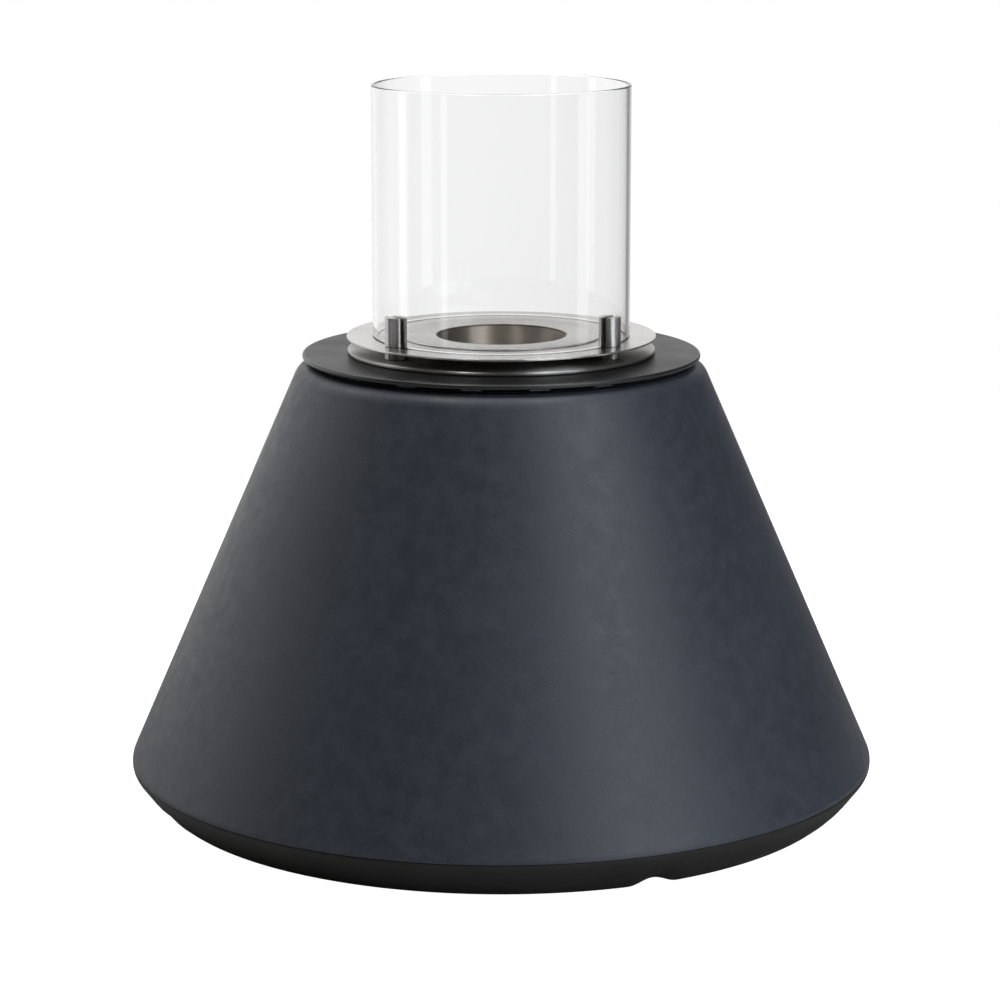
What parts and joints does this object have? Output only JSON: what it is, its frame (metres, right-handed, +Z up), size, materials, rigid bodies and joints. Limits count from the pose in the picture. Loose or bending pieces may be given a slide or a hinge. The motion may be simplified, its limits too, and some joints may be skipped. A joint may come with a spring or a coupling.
{
  "type": "outdoor heater",
  "caption": "Conical patio fire with a round top plate, a raised steel ring with a liquid-fuel burner, and a clear glass tube held by slotted posts.",
  "frame": {"origin": "on the floor under the middle of the base", "axes": "+Z up along the axis of the cone, -Y towards the front, where the two glass-holding posts stand either side"},
  "size_m": [0.5868, 0.5868, 0.5606],
  "materials": {
    "shell": "satin",
    "plinth": "matte",
    "rubber": "matte",
    "top_plate": "satin",
    "brushed_steel": "satin",
    "polished_steel": "polished",
    "fasteners": "satin",
    "clear_glass": "gloss",
    "ceramic_fibre": "matte",
    "silicone": "matte"
  },
  "bodies": {
    "base": {"cone_shell": "shell", "plinth_ring": "plinth", "spacer_ring": "rubber", "plinth_screw_1": "fasteners", "plinth_screw_2": "fasteners", "plinth_screw_3": "fasteners", "plinth_screw_4": "fasteners", "plinth_screw_5": "fasteners", "plinth_screw_6": "fasteners", "plinth_screw_7": "fasteners", "plinth_screw_8": "fasteners", "foot_strip_1": "rubber", "foot_strip_2": "rubber", "foot_strip_3": "rubber", "foot_strip_4": "rubber"},
    "insert": {"top_plate": "top_plate", "locating_collar": "fasteners", "base_disc": "brushed_steel", "ring_plate": "brushed_steel", "standoff_front_left": "polished_steel", "standoff_front_right": "polished_steel", "standoff_rear_left": "polished_steel", "standoff_rear_right": "polished_steel", "post_screw_1": "fasteners", "post_screw_2": "fasteners", "post_screw_3": "fasteners", "post_screw_4": "fasteners", "ring_stud_1": "fasteners", "ring_stud_2": "fasteners", "stud_nut_1": "fasteners", "stud_nut_2": "fasteners", "left_post_outer": "polished_steel", "left_post_inner": "polished_steel", "left_pad_outer": "silicone", "left_pad_inner": "silicone", "right_post_outer": "polished_steel", "right_post_inner": "polished_steel", "right_pad_outer": "silicone", "right_pad_inner": "silicone"},
    "burner": {"burner_flange": "brushed_steel", "burner_can": "brushed_steel", "fuel_cup": "brushed_steel", "absorber": "ceramic_fibre", "retaining_grid": "brushed_steel"},
    "glass": {"glass_tube": "clear_glass"}
  },
  "joints": [
    {"name": "insert_lift", "type": "slide", "parent": "base", "child": "insert", "axis": [0, 0, 1], "range_m": [0, 0.1]},
    {"name": "burner_lift", "type": "slide", "parent": "insert", "child": "burner", "axis": [0, 0, 1], "range_m": [0, 0.12]},
    {"name": "glass_lift", "type": "slide", "parent": "insert", "child": "glass", "axis": [0, 0, 1], "range_m": [0, 0.2]}
  ]
}
